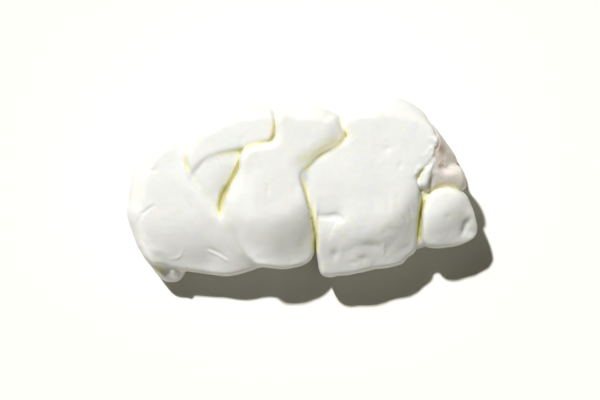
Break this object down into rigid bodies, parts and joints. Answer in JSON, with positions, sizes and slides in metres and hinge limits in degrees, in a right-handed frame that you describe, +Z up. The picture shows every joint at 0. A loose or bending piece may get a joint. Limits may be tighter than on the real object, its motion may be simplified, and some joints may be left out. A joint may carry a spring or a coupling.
{
  "type": "braided buffalo mozzarella",
  "caption": "Short fat loaf of fresh white cheese, plaited from soft strands that press together and fuse, with deep yellowish creases and a flat base to rest on.",
  "frame": {"origin": "middle of the outline, on the flat face that the loaf rests on", "axes": "+X along the loaf towards the end with the torn ridge and the loose strand end, +Y across it towards the back, +Z up"},
  "size_m": [0.1398, 0.0744, 0.0378],
  "materials": {
    "cheese": "moist satin fresh cheese, near white, soft yellow in the creases"
  },
  "bodies": {
    "root": {"braid": "cheese"}
  },
  "joints": []
}
